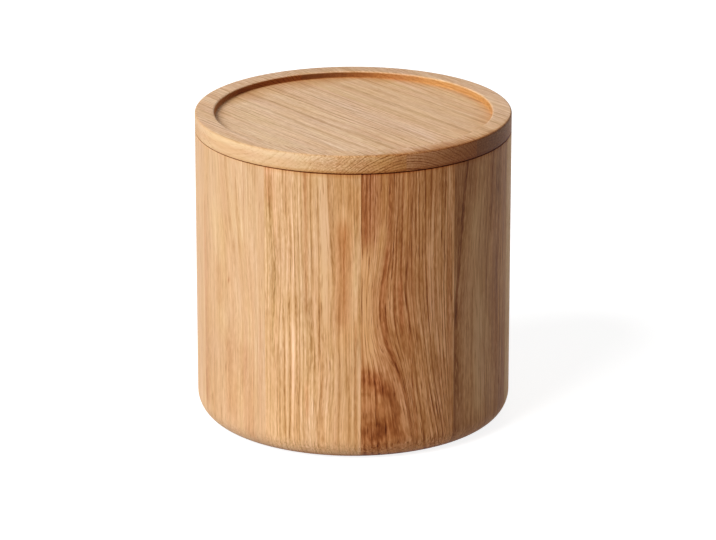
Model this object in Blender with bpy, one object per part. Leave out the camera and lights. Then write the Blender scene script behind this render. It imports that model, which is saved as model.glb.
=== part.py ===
# Lidded oak canister: ten mitred staves round a rebated base, with a loose turned lid and its seal ring
# Metres, +Z up. It stands on z = 0 with its axis through the origin, and its front faces -Y.
# An azimuth is counted in degrees from the front towards +X, which is the right-hand side.

import math

import bmesh
import bpy
from mathutils import Vector

# Fits
FIT_GAP = 0.0003                # between pieces that touch or are glued
SPIGOT_CLEARANCE = 0.0010       # between the lid's spigot and the wall

# Body
OUTER_RADIUS = 0.0700
WALL = 0.0090
BODY_HEIGHT = 0.13175           # from the table to the wall's top edge
FOOT_ROUND = 0.0104             # round-over at the foot
MOUTH_EASE = 0.0005             # broken edges at the mouth
STAVE_COUNT = 10
FIRST_JOINT = 2.7               # azimuth of the glue line nearest the front

# Base
BASE_THICKNESS = 0.0080
BASE_REBATE = 0.0015            # how far the base is let into the wall
BASE_HEADING = -24.0            # azimuth that the boards of the base run towards
BASE_JOINTS = (-0.0173, 0.0233)  # glue lines, left and right of the axis

# Lid
LID_EDGE = 0.00795              # height of the lid's edge above the wall
LID_RIM = 0.0086                # width of the raised rim
LID_RECESS = 0.0030             # depth of the recess inside the rim
LID_EASE = 0.0005               # broken edges
RECESS_FILLET = 0.0006          # hollow corner of the recess
SPIGOT_DEPTH = 0.0080
SPIGOT_CHAMFER = 0.0008
LID_HEADING = 37.0              # azimuth that the boards of the lid run towards
LID_JOINTS = (-0.0217, 0.0153)  # glue lines, left and right of the axis

# Seal
GROOVE_HEIGHT = 0.0036
GROOVE_DEPTH = 0.0020
LIP_DEPTH = 0.0009              # how far the seal's two lips stand out of its back
LIP_SLOPE = 0.15                # height of each slope of a lip, as a share of the seal's height
LIP_TIP = 0.15                  # height of a lip's flat tip, as a share of the seal's height

# Smoothness of the round surfaces
SEGMENTS = 120                  # round the axis, a multiple of the number of staves
ROUND_STEPS = 8                 # along the foot's round-over on the staves
BASE_STEPS = 2                  # and on the base
SHARP_ANGLE = math.radians(30.0)
FLAT_ANGLE = math.radians(0.5)
MERGE_DISTANCE = 1e-7

INNER_RADIUS = OUTER_RADIUS - WALL
REBATE_RADIUS = INNER_RADIUS + BASE_REBATE
BASE_RADIUS = REBATE_RADIUS - FIT_GAP
SPIGOT_RADIUS = INNER_RADIUS - SPIGOT_CLEARANCE
RECESS_RADIUS = OUTER_RADIUS - LID_RIM
LID_SEAT = BODY_HEIGHT + FIT_GAP
TURN = 2.0 * math.pi


def remove_all_objects():
    for obj in list(bpy.data.objects):
        bpy.data.objects.remove(obj, do_unlink=True)


def heading_angle(azimuth):
    # An azimuth as an angle from +X, in radians
    return math.radians(azimuth - 90.0)


def linear(value):
    # One channel of a screen colour, 0 to 255, as Blender's linear value
    share = value / 255.0
    if share <= 0.04045:
        return share / 12.92
    return ((share + 0.055) / 1.055) ** 2.4


def finish(name, screen_color, roughness):
    material = bpy.data.materials.new(name)
    material.use_nodes = True
    shader = material.node_tree.nodes["Principled BSDF"]
    color = [linear(channel) for channel in screen_color] + [1.0]
    shader.inputs["Base Color"].default_value = color
    shader.inputs["Roughness"].default_value = roughness
    shader.inputs["Metallic"].default_value = 0.0
    material.diffuse_color = color
    return material


def foot_curve(start_radius, end_radius, steps):
    # Points of the round-over from one radius out to another, evenly spaced along the arc
    center = OUTER_RADIUS - FOOT_ROUND
    start = math.asin(max(0.0, start_radius - center) / FOOT_ROUND)
    end = math.asin(min(1.0, (end_radius - center) / FOOT_ROUND))
    angles = [start + (end - start) * step / steps for step in range(steps + 1)]
    return [(center + FOOT_ROUND * math.sin(a), FOOT_ROUND * (1.0 - math.cos(a))) for a in angles]


def turned_mesh(outline, start=0.0, sweep=TURN, segments=SEGMENTS):
    # Turns an outline of (radius, height) points round the axis. An outline that starts and ends on the
    # axis makes a solid disc, any other one is closed to a ring, and a part turn is capped at both ends.
    mesh = bmesh.new()
    verts = [mesh.verts.new((r * math.cos(start), r * math.sin(start), z)) for r, z in outline]
    edges = [mesh.edges.new(pair) for pair in zip(verts, verts[1:])]
    if outline[0][0] > 0.0:
        edges.append(mesh.edges.new((verts[-1], verts[0])))
    whole = sweep == TURN
    bmesh.ops.spin(mesh, geom=verts + edges, cent=(0, 0, 0), axis=(0, 0, 1), angle=sweep,
                   steps=segments, use_merge=whole)
    bmesh.ops.remove_doubles(mesh, verts=mesh.verts, dist=MERGE_DISTANCE)
    if not whole:
        close_openings(mesh)
    return mesh


def close_openings(mesh):
    open_edges = [edge for edge in mesh.edges if edge.is_boundary]
    bmesh.ops.holes_fill(mesh, edges=open_edges, sides=0)


def cut_away(mesh, point, direction):
    # Saws the mesh at a plane, drops what lies beyond it and closes the cut
    everything = mesh.verts[:] + mesh.edges[:] + mesh.faces[:]
    bmesh.ops.bisect_plane(mesh, geom=everything, dist=MERGE_DISTANCE, plane_co=point,
                           plane_no=direction, clear_outer=True)
    close_openings(mesh)


def join_flat_faces(mesh):
    # Makes one face of each flat side, so that no corner is left in the middle of a straight edge
    bmesh.ops.dissolve_limit(mesh, angle_limit=FLAT_ANGLE, verts=mesh.verts, edges=mesh.edges)


def add_object(name, mesh, material, parent=None):
    bmesh.ops.recalc_face_normals(mesh, faces=mesh.faces)
    data = bpy.data.meshes.new(name)
    mesh.to_mesh(data)
    mesh.free()
    data.shade_smooth()
    data.set_sharp_from_angle(angle=SHARP_ANGLE)
    data.materials.append(material)
    obj = bpy.data.objects.new(name, data)
    bpy.context.scene.collection.objects.link(obj)
    obj.parent = parent
    return obj


def add_axis(name, height, parent=None):
    # An empty on the canister's axis, which carries what moves there
    empty = bpy.data.objects.new(name, None)
    empty.empty_display_type = "SINGLE_ARROW"
    empty.empty_display_size = OUTER_RADIUS
    bpy.context.scene.collection.objects.link(empty)
    empty.parent = parent
    empty.location.z = height
    return empty


def add_boards(prefix, outline, material, heading, joints, parent=None):
    # Cuts a turned piece along its glue lines into a left, a middle and a right board
    across = Vector((math.cos(math.radians(heading)), math.sin(math.radians(heading)), 0.0))
    half_gap = FIT_GAP / 2.0
    sides = (
        ("left", None, joints[0] - half_gap),
        ("middle", joints[0] + half_gap, joints[1] - half_gap),
        ("right", joints[1] + half_gap, None),
    )
    for side, low, high in sides:
        name = f"{prefix}_{side}"
        board = turned_mesh(outline)
        if low is not None:
            cut_away(board, across * low, -across)
        if high is not None:
            cut_away(board, across * high, across)
        join_flat_faces(board)
        add_object(name, board, material, parent)


# Staves of the wall

def stave_outline():
    shoulder = BASE_THICKNESS + FIT_GAP
    outline = foot_curve(REBATE_RADIUS, OUTER_RADIUS, ROUND_STEPS)
    outline += [
        (OUTER_RADIUS, BODY_HEIGHT - MOUTH_EASE),
        (OUTER_RADIUS - MOUTH_EASE, BODY_HEIGHT),
        (INNER_RADIUS + MOUTH_EASE, BODY_HEIGHT),
        (INNER_RADIUS, BODY_HEIGHT - MOUTH_EASE),
        (INNER_RADIUS, shoulder),
        (REBATE_RADIUS, shoulder),
    ]
    return outline


def add_staves(tones):
    outline = stave_outline()
    pitch = TURN / STAVE_COUNT
    gap_angle = FIT_GAP / OUTER_RADIUS
    for index in range(STAVE_COUNT):
        name = f"stave_{index + 1:02d}"
        start = heading_angle(FIRST_JOINT) + index * pitch + gap_angle / 2.0
        stave = turned_mesh(outline, start, pitch - gap_angle, SEGMENTS // STAVE_COUNT)
        add_object(name, stave, tones[index % len(tones)])


# Base, let into the staves from below

def base_outline():
    edge = foot_curve(min(BASE_RADIUS, OUTER_RADIUS - FOOT_ROUND), BASE_RADIUS, BASE_STEPS)
    return [(0.0, 0.0)] + edge + [(BASE_RADIUS, BASE_THICKNESS), (0.0, BASE_THICKNESS)]


# Lid, with heights counted from the underside of its rim

def groove_floor():
    # Height of the groove's lower side, midway up the spigot
    return -(SPIGOT_DEPTH + GROOVE_HEIGHT) / 2.0


def lid_outline():
    groove_radius = SPIGOT_RADIUS - GROOVE_DEPTH
    groove_low = groove_floor()
    groove_high = groove_low + GROOVE_HEIGHT
    recess_floor = LID_EDGE - LID_RECESS
    return [
        (0.0, -SPIGOT_DEPTH),
        (SPIGOT_RADIUS - SPIGOT_CHAMFER, -SPIGOT_DEPTH),
        (SPIGOT_RADIUS, -SPIGOT_DEPTH + SPIGOT_CHAMFER),
        (SPIGOT_RADIUS, groove_low),
        (groove_radius, groove_low),
        (groove_radius, groove_high),
        (SPIGOT_RADIUS, groove_high),
        (SPIGOT_RADIUS, 0.0),
        (OUTER_RADIUS - LID_EASE, 0.0),
        (OUTER_RADIUS, LID_EASE),
        (OUTER_RADIUS, LID_EDGE - LID_EASE),
        (OUTER_RADIUS - LID_EASE, LID_EDGE),
        (RECESS_RADIUS + LID_EASE, LID_EDGE),
        (RECESS_RADIUS, LID_EDGE - LID_EASE),
        (RECESS_RADIUS, recess_floor + RECESS_FILLET),
        (RECESS_RADIUS - RECESS_FILLET, recess_floor),
        (0.0, recess_floor),
    ]


# Seal ring, with two soft lips that face the wall

def seal_outline():
    back = SPIGOT_RADIUS - GROOVE_DEPTH + FIT_GAP
    tip = INNER_RADIUS - FIT_GAP
    valley = tip - LIP_DEPTH
    low = groove_floor() + FIT_GAP
    high = groove_floor() + GROOVE_HEIGHT - FIT_GAP
    slope = (high - low) * LIP_SLOPE
    flat = (high - low) * LIP_TIP
    return [
        (back, low),
        (valley, low),
        (tip, low + slope),
        (tip, low + slope + flat),
        (valley, low + 2.0 * slope + flat),
        (valley, high - 2.0 * slope - flat),
        (tip, high - slope - flat),
        (tip, high - slope),
        (valley, high),
        (back, high),
    ]


def main():
    remove_all_objects()

    russet = finish("oak_russet", (176, 116, 74), 0.55)
    brown = finish("oak_brown", (166, 118, 82), 0.55)
    honey = finish("oak_honey", (205, 152, 105), 0.55)
    pale = finish("oak_pale", (218, 170, 124), 0.55)
    lid_oak = finish("oak_lid", (214, 170, 126), 0.55)
    base_oak = finish("oak_base", (205, 160, 115), 0.60)
    silicone = finish("silicone", (226, 224, 218), 0.35)

    add_staves((russet, brown, honey, pale, honey, russet, pale, pale, pale, honey))
    add_boards("base_board", base_outline(), base_oak, BASE_HEADING, BASE_JOINTS)

    lift_axis = add_axis("lid_lift_axis", LID_SEAT)
    turn_axis = add_axis("lid_turn_axis", 0.0, lift_axis)
    add_object("seal_ring", turned_mesh(seal_outline()), silicone, lift_axis)
    add_boards("lid_board", lid_outline(), lid_oak, LID_HEADING, LID_JOINTS, turn_axis)


main()
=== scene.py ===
# Lidded oak canister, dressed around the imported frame. Metres, +Z up, the front faces -Y.
# Azimuths are degrees from the front towards +X, the right-hand side.
import math
import bmesh
import bpy
import numpy as np
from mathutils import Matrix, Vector


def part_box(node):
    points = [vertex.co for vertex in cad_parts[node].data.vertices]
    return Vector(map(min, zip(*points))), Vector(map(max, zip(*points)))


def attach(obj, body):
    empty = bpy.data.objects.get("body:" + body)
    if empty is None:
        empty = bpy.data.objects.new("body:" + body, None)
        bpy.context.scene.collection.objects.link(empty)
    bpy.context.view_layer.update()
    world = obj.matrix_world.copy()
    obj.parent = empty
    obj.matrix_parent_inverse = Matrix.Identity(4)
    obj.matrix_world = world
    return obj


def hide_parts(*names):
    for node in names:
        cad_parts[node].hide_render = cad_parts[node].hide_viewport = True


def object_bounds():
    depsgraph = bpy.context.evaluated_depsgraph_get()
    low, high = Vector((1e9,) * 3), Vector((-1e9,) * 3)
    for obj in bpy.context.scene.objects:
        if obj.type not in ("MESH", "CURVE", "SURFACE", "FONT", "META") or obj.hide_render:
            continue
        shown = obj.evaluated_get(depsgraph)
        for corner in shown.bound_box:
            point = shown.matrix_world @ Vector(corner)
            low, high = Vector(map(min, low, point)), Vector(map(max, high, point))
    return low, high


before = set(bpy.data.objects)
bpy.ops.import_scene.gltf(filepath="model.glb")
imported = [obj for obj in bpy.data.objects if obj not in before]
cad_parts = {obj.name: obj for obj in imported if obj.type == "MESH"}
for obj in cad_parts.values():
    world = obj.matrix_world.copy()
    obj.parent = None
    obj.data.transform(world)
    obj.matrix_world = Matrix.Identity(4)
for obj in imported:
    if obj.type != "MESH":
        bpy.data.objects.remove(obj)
cadLow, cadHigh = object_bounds()
print("frame loaded:", len(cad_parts), "nodes")

mm = 0.001

# Camera, at the height and distance that the photograph's outlines give
photoView = {
    "width": 716,
    "axisColumn": 353.3,        # pixel column of the canister's axis
    "focalPixels": 4177.0,
    "sensor": 36.0,
    "distance": 1.770,          # in front of the axis
    "height": 0.6633,           # above the floor
    "pitch": 18.67,             # degrees down
}


def newObject(name, data):
    item = bpy.data.objects.new(name, data)
    bpy.context.scene.collection.objects.link(item)
    return item


def makeCamera(view):
    data = bpy.data.cameras.new("photoCamera")
    data.sensor_width = view["sensor"]
    data.lens = view["focalPixels"] / view["width"] * view["sensor"]
    data.shift_x = (view["width"] / 2 - view["axisColumn"]) / view["width"]
    data.clip_end = 50
    camera = newObject("photoCamera", data)
    camera.location = (0, -view["distance"], view["height"])
    camera.rotation_euler = (math.radians(90 - view["pitch"]), 0, 0)
    bpy.context.scene.camera = camera


# Shader helpers
def newMaterial(name):
    material = bpy.data.materials.new(name)
    material.use_nodes = True
    tree = material.node_tree
    return material, tree, tree.nodes["Principled BSDF"]


def feed(tree, node, sockets):
    # each socket takes another node's output or a plain value
    for key, value in sockets.items():
        if isinstance(value, bpy.types.NodeSocket):
            tree.links.new(value, node.inputs[key])
        else:
            node.inputs[key].default_value = value


def addNode(tree, kind, sockets, **settings):
    node = tree.nodes.new(kind)
    for name, value in settings.items():
        setattr(node, name, value)
    feed(tree, node, sockets)
    return node


def calc(tree, operation, a, b=0.0, c=0.0):
    return addNode(tree, "ShaderNodeMath", {0: a, 1: b, 2: c}, operation=operation).outputs[0]


def multiply(tree, a, b):
    return calc(tree, "MULTIPLY", a, b)


def multiplyAdd(tree, a, b, c):
    return calc(tree, "MULTIPLY_ADD", a, b, c)


def vectorCalc(tree, operation, a, b=(0, 0, 0), c=(0, 0, 0)):
    node = addNode(tree, "ShaderNodeVectorMath", {0: a, 1: b, 2: c}, operation=operation)
    return node.outputs[1 if operation in ("DISTANCE", "DOT_PRODUCT") else 0]


def fade(tree, value, low, high, start=0.0, end=1.0):
    sockets = {0: value, 1: low, 2: high, 3: start, 4: end}
    return addNode(tree, "ShaderNodeMapRange", sockets, interpolation_type="SMOOTHSTEP").outputs[0]


def mixColor(tree, factor, a, b, blend="MIX", clamp=True):
    node = addNode(tree, "ShaderNodeMix", {0: factor, 6: a, 7: b}, data_type="RGBA", blend_type=blend)
    node.clamp_factor = clamp
    return node.outputs[2]


def rgb(red, green, blue):
    # a screen colour, 0 to 255, as linear values
    shares = (red / 255, green / 255, blue / 255)
    return (*(s / 12.92 if s <= 0.04045 else ((s + 0.055) / 1.055) ** 2.4 for s in shares), 1.0)


def noise(tree, place, scale, detail):
    node = addNode(tree, "ShaderNodeTexNoise", {"Vector": place, "Scale": scale, "Detail": detail})
    return node.outputs["Fac"]


# Oak, as one group that every board uses with its own numbers. Lengths are in millimetres.
paintedInputs = {
    "board": "Vector",          # across, deep and along the board
    "shift": "Float",           # how far the figure is pushed aside
    "paintedShade": "Float",           # painted shade: smooth brown darkening in the seam, at the foot, in the recess and on the rim's rounding
    "tone": "Float",            # darker below zero, lighter above
    "red": "Float",             # redder above zero, yellower below
    "gold": "Float",            # yellower above zero
    "quiet": "Float",           # 1 where the figure fades to plain wood
}
boardInputs = {
    "along": "Vector",          # the way of the grain
    "seed": "Float",
    "pith": "Vector",           # where the tree's middle passes
    "lean": "Vector",           # its slope along the board
    "spacing": "Float",         # of the rings
    "wander": "Float",          # how far they stray from round
    "rings": "Float",           # how strongly rings, pores, fibres and bands show
    "pores": "Float",
    "fibres": "Float",
    "bands": "Float",
    "light": "Color",
    "shade": "Color",           # what a whole step darker leaves of it
    "end": "Color",             # what end grain leaves of it
}

grain = {
    # sizes across and along in millimetres, detail, and place in the noise
    "wander": (15, 90, 2, 3.1),
    "wobble": (4, 24, 1, 4.4),
    "dashes": (1.1, 34, 2, 7.2),
    "pores": (0.42, 10, 1, 5.7),
    "fibres": (0.72, 34, 2, 1.3),
    "specks": (0.5, 3.4, 1, 9.4),
    "streaks": (0.75, 18, 2, 2.7),
    "bands": (2.4, 50, 2, 8.9),
    "clouds": (15, 45, 1.5, 2.2),
    "redder": (4.2, 70, 2, 6.6),
    "yellower": (8, 35, 2, 4.9),
    # what is left of the wood's colour in a pore, where it is redder or yellower, and under the painted
    # shade
    "poreColor": (0.52, 0.36, 0.23, 1),
    "redColor": (0.93, 0.76, 0.70, 1),
    "yellowColor": (1, 0.98, 0.80, 1),
    "paintedShadeColor": (0.58, 0.36, 0.18, 1),
}


def makeOakGroup():
    tree = bpy.data.node_groups.new("oakGrain", "ShaderNodeTree")
    for name, kind in {**paintedInputs, **boardInputs}.items():
        tree.interface.new_socket(name, in_out="INPUT", socket_type="NodeSocket" + kind)
    for name, kind in {"color": "Color", "roughness": "Float", "height": "Float"}.items():
        tree.interface.new_socket(name, in_out="OUTPUT", socket_type="NodeSocket" + kind)
    given = tree.nodes.new("NodeGroupInput").outputs
    parts = addNode(tree, "ShaderNodeSeparateXYZ", {0: given["board"]}).outputs
    aside = calc(tree, "ADD", parts[0], given["shift"])
    board = addNode(tree, "ShaderNodeCombineXYZ", {0: aside, 1: parts[1], 2: parts[2]}).outputs[0]
    offset = vectorCalc(tree, "MULTIPLY", (37.0, 53.0, 71.0), given["seed"])
    place = vectorCalc(tree, "ADD", board, offset)
    facing = addNode(tree, "ShaderNodeTexCoord", {}).outputs["Normal"]
    facing = vectorCalc(tree, "DOT_PRODUCT", facing, given["along"])
    end = fade(tree, calc(tree, "ABSOLUTE", facing), 0.60, 0.96)

    def grainNoise(name):
        # from -0.5 to 0.5, drawn out along the grain
        across, along, detail, seed = grain[name]
        scaled = vectorCalc(tree, "MULTIPLY", place, (1 / across, 1 / across, 1 / along))
        moved = vectorCalc(tree, "ADD", scaled, (seed, 2.3 * seed, 0.7 * seed))
        return calc(tree, "SUBTRACT", noise(tree, moved, 1.0, detail), 0.5)

    # growth rings round the pith, each starting with a row of open pores
    wander = multiply(tree, grainNoise("wander"), given["wander"])
    wobble = grainNoise("wobble")
    moved = multiplyAdd(tree, wobble, 1.4, multiplyAdd(tree, wander, 4.0, aside))
    flat = addNode(tree, "ShaderNodeCombineXYZ", {0: moved, 1: parts[1]}).outputs[0]
    axis = vectorCalc(tree, "MULTIPLY_ADD", given["lean"], parts[2], given["pith"])
    reach = vectorCalc(tree, "DISTANCE", flat, axis)
    uneven = multiplyAdd(tree, reach, 0.16, given["seed"])
    uneven = addNode(tree, "ShaderNodeTexNoise", {"W": uneven, "Scale": 1.0, "Detail": 1.0},
                     noise_dimensions="1D")
    rings = multiplyAdd(tree, uneven.outputs["Fac"], 2.0, calc(tree, "DIVIDE", reach, given["spacing"]))
    phase = calc(tree, "FRACT", rings)
    number = calc(tree, "ADD", calc(tree, "FLOOR", rings), given["seed"])
    chance = addNode(tree, "ShaderNodeTexWhiteNoise", {"W": number}, noise_dimensions="1D").outputs["Value"]
    dashes = fade(tree, grainNoise("dashes"), -0.14, 0.12, 0.50, 1.10)
    early = calc(tree, "MAXIMUM", fade(tree, phase, 0.0, 0.36, 1.0, 0.0), fade(tree, phase, 0.88, 1.0))
    early = multiply(tree, early, fade(tree, chance, 0.0, 1.0, 0.30, 1.0))
    early = multiply(tree, early, dashes)

    # pores as short dashes along the grain, dots on end grain, and mostly in the early wood
    pores = grainNoise("pores")
    threshold = multiplyAdd(tree, early, -0.10, 0.16)
    pores = fade(tree, calc(tree, "SUBTRACT", pores, threshold), -0.05, 0.10)

    # fibres, specks, bands, clouds, and the drifts from pinkish to yellowish wood
    fibres = grainNoise("fibres")
    specks = grainNoise("specks")
    bands = grainNoise("bands")
    clouds = grainNoise("clouds")
    redder = grainNoise("redder")
    yellower = grainNoise("yellower")

    # rays show on end grain as thin pale lines from the pith outwards
    fromPith = addNode(tree, "ShaderNodeSeparateXYZ", {0: vectorCalc(tree, "SUBTRACT", flat, axis)}).outputs
    turn = calc(tree, "ARCTAN2", fromPith[1], fromPith[0])
    turn, outwards = multiply(tree, turn, 190.0), multiply(tree, reach, 0.12)
    rays = noise(tree, addNode(tree, "ShaderNodeCombineXYZ", {0: turn, 1: outwards}).outputs[0], 1.0, 1.0)
    rays = multiply(tree, fade(tree, rays, 0.55, 0.70), end)

    # 1 is the light colour and 0 a whole step darker. The painted marks break up into streaks.
    streaks = multiplyAdd(tree, specks, 0.7, grainNoise("streaks"))
    streaks = fade(tree, streaks, -0.18, 0.18, 0.4, -0.4)
    figured = calc(tree, "SUBTRACT", 1.0, given["quiet"])
    streaks = multiplyAdd(tree, streaks, figured, 1.0)
    ringDepth = multiply(tree, given["rings"], multiplyAdd(tree, end, -1.3, -1.0))
    value = multiply(tree, early, ringDepth)
    value = multiplyAdd(tree, fibres, given["fibres"], value)
    value = multiplyAdd(tree, specks, multiply(tree, given["fibres"], 0.6), value)
    value = multiplyAdd(tree, bands, given["bands"], value)
    value = multiplyAdd(tree, clouds, given["bands"], value)
    value = multiplyAdd(tree, rays, 0.25, value)
    value = multiplyAdd(tree, value, figured, 0.82)
    value = multiplyAdd(tree, given["tone"], streaks, value)
    value = calc(tree, "MINIMUM", calc(tree, "MAXIMUM", value, -1.5), 1.30)
    darkness = calc(tree, "SUBTRACT", 1.0, value)
    darker = addNode(tree, "ShaderNodeGamma", {"Color": given["shade"], "Gamma": darkness})
    color = mixColor(tree, 1.0, given["light"], darker.outputs[0], "MULTIPLY")
    poreDepth = multiply(tree, pores, given["pores"])
    color = mixColor(tree, poreDepth, color, grain["poreColor"], "MULTIPLY")
    red = multiplyAdd(tree, redder, 1.1, given["red"])
    color = mixColor(tree, red, color, grain["redColor"], "MULTIPLY", clamp=False)
    yellow = multiplyAdd(tree, yellower, 1.6, given["gold"])
    color = mixColor(tree, yellow, color, grain["yellowColor"], "MULTIPLY", clamp=False)
    # painted shade darkens the colour towards brown
    paintedShadeTint = addNode(tree, "ShaderNodeGamma", {"Color": grain["paintedShadeColor"], "Gamma": given["paintedShade"]})
    color = mixColor(tree, 1.0, color, paintedShadeTint.outputs[0], "MULTIPLY")
    color = mixColor(tree, end, color, mixColor(tree, 1.0, color, given["end"], "MULTIPLY"))

    roughness = multiplyAdd(tree, fibres, 0.25, 0.55)
    roughness = multiplyAdd(tree, pores, 0.15, roughness)
    height = multiplyAdd(tree, poreDepth, -1.0, multiply(tree, fibres, 0.5))
    addNode(tree, "NodeGroupOutput", {"color": color, "roughness": roughness, "height": height})
    return tree


def bumpWay(tree, strength, depth, height):
    node = addNode(tree, "ShaderNodeBump", {"Strength": strength, "Distance": depth, "Height": height})
    return node.outputs["Normal"]


def makeOak(name, figure, alongWay):
    material, tree, shader = newMaterial(name)
    group = tree.nodes.new("ShaderNodeGroup")
    group.node_tree = oakGroup
    for attribute, kind in paintedInputs.items():
        read = addNode(tree, "ShaderNodeAttribute", {}, attribute_name=attribute)
        tree.links.new(read.outputs["Vector" if kind == "Vector" else "Fac"], group.inputs[attribute])
    numbers = dict(figure, along=alongWay, pith=(*figure["pith"], 0), lean=(*figure["lean"], 0))
    feed(tree, group, {key: numbers[key] for key in boardInputs})
    feed(tree, shader, {"Base Color": group.outputs["color"], "Roughness": group.outputs["roughness"],
                        "Normal": bumpWay(tree, 0.5, 0.08 * mm, group.outputs["height"]),
                        "Specular IOR Level": 0.14})
    return material


# Marks in the wood. A path is a list of (side, along) points, and a mark is a soft stroke along one.
def followPath(along, path):
    # side of the path at each place along the board, smoothed between its points
    sides, places = np.array(sorted(path, key=lambda point: point[1]), dtype=float).T
    slopes = np.gradient(sides, places)
    index = np.clip(np.searchsorted(places, along) - 1, 0, len(places) - 2)
    span = places[index + 1] - places[index]
    share = np.clip((along - places[index]) / span, 0, 1)
    ease = share * share * (3 - 2 * share)
    leave = share * (1 - share) ** 2 * span * slopes[index]
    arrive = share * share * (1 - share) * span * slopes[index + 1]
    return sides[index] * (1 - ease) + sides[index + 1] * ease + leave - arrive


def smoothStep(value, low, high):
    share = np.clip((value - low) / (high - low), 0, 1)
    return share * share * (3 - 2 * share)


painted = ("tone", "red", "gold", "quiet")


def mark(tone, width, *path, right=None, red=0.0, gold=0.0, quiet=0.0, ends=8.0):
    # values at the middle, half widths to the left and right, and the length over which the ends fade
    return (tone * markStrength, red, gold, quiet), width, right or width, path, ends


def marks(tone, width, *paths, **settings):
    return [mark(tone, width, *path, **settings) for path in paths]


markStrength = 1.3
degree = math.radians(1) * cadHigh.x / mm       # millimetres round the wall to a degree


def paintMarks(side, along, given):
    paint = np.zeros((len(painted), len(side)))
    for values, left, right, path, ends in given:
        off = side - followPath(along, path)
        weight = np.exp(-(off / np.where(off < 0, left, right)) ** 2)
        low, *_, high = sorted(place for _, place in path)
        weight *= smoothStep(along, low - ends, low) * (1 - smoothStep(along, high, high + ends))
        paint += np.outer(values, weight)
    return paint


def stroke(tone, width, *points, red=0.0, gold=0.0, quiet=0.0):
    # a soft line through points in any direction, with its width in millimetres
    return (tone * markStrength, red, gold, quiet), width, points


def paintStrokes(side, along, given):
    paint = np.zeros((len(painted), len(side)))
    place = np.stack([side * degree, along], 1)
    for values, width, points in given:
        points = np.array(points, dtype=float) * (degree, 1)
        nearest = np.full(len(side), np.inf)
        for first, last in zip(points, points[1:]):
            run = last - first
            share = np.clip((place - first) @ run / (run @ run), 0, 1)
            nearest = np.minimum(nearest, np.linalg.norm(place - first - share[:, None] * run, axis=1))
        paint += np.outer(values, np.exp(-(nearest / width) ** 2))
    return paint


def bendFigure(side, along, guides, start, end):
    # where each point's grain line would run if the guides were straight, from one glue line to the other
    lines = [side * 0 + start, *(followPath(along, guide) for guide in guides), side * 0 + end]
    homes = [start, *(guide[0][0] for guide in guides), end]
    home = side.copy()
    for index in range(len(lines) - 1):
        share = (side - lines[index]) / (lines[index + 1] - lines[index])
        inside = (share > 0) & (share <= 1)
        home = np.where(inside, homes[index] + share * (homes[index + 1] - homes[index]), home)
    return home


# Mesh helpers
def turnedPlace(points):
    # radius, azimuth and height
    x, y, height = points.T
    return np.hypot(x, y), np.degrees(np.arctan2(x, -y)), height


def arc(centerRadius, centerHeight, size, start, end, steps):
    # points along a round edge, with angles in degrees from the outward direction
    angles = [math.radians(start + (end - start) * step / steps) for step in range(steps + 1)]
    return [(centerRadius + size * math.cos(a), centerHeight + size * math.sin(a)) for a in angles]


def spread(start, end, step):
    # the inner points of a straight run, about a step apart
    count = max(1, round(math.dist(start, end) / step))
    return [tuple(np.array(start) + (np.array(end) - np.array(start)) * i / count) for i in range(1, count)]


def turnedGrid(name, outline, startAzimuth, sweep, columns, discs=False):
    # turns an outline of (radius, height) about the axis. A part turn gets two end caps, and with discs
    # a whole turn of an open outline gets a flat disc at each end of it.
    verts, faces = [], []
    whole = sweep >= 360
    rows = len(outline)
    for column in range(columns if whole else columns + 1):
        azimuth = math.radians(startAzimuth + sweep * column / columns)
        verts += [(r * math.sin(azimuth), -r * math.cos(azimuth), z) for r, z in outline]
    for column in range(columns):
        left, right = column * rows, (column + 1) * rows % len(verts)
        for row in range(rows - 1 if discs else rows):
            after = (row + 1) % rows
            faces.append((left + row, right + row, right + after, left + after))
    if discs:
        faces.append(tuple(range(0, columns * rows, rows))[::-1])
        faces.append(tuple(range(rows - 1, columns * rows, rows)))
    elif not whole:
        faces.append(tuple(range(rows)))
        faces.append(tuple(range(columns * rows, (columns + 1) * rows))[::-1])
    data = bpy.data.meshes.new(name)
    data.from_pydata(verts, [], faces)
    return data


def finishMesh(data, sharp=35):
    mesh = bmesh.new()
    mesh.from_mesh(data)
    bmesh.ops.recalc_face_normals(mesh, faces=mesh.faces)
    mesh.to_mesh(data)
    mesh.free()
    data.shade_smooth()
    data.set_sharp_from_angle(angle=math.radians(sharp))


def addPiece(name, data, material, body, slot, *nodes):
    data.materials.append(material)
    piece = newObject(name, data)
    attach(piece, body)
    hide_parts(*nodes)


def corners(data):
    points = np.empty(len(data.vertices) * 3)
    data.vertices.foreach_get("co", points)
    return points.reshape(-1, 3)


def storePaint(data, *layers):
    # the values at each corner, in the order of paintedInputs
    for (name, kind), values in zip(paintedInputs.items(), layers):
        isVector = kind == "Vector"
        layer = data.attributes.new(name, "FLOAT_VECTOR" if isVector else "FLOAT", "POINT")
        key = "vector" if isVector else "value"
        layer.data.foreach_set(key, np.asarray(values, dtype=np.float32).ravel())


# The wall's staves
wall = {
    "outer": cadHigh.x,
    "thickness": 9.0 * mm,
    "top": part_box("stave_10")[1].z,
    "footRound": 10.4 * mm,
    "ease": 0.25 * mm,
    "rebate": 1.5 * mm,
    "shoulder": 8.3 * mm,
    "staveCount": 10,
    "firstJoint": 2.7,
    "hairline": 0.012,          # degrees left at each side of a glue line
    "seamShade": 1.8,           # painted shade at the seam under the lid
    "footShade": (0.9, 2.2),    # painted shade where it stands, at the left of the front and at the shaded right
    "columns": 144,
}

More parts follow.
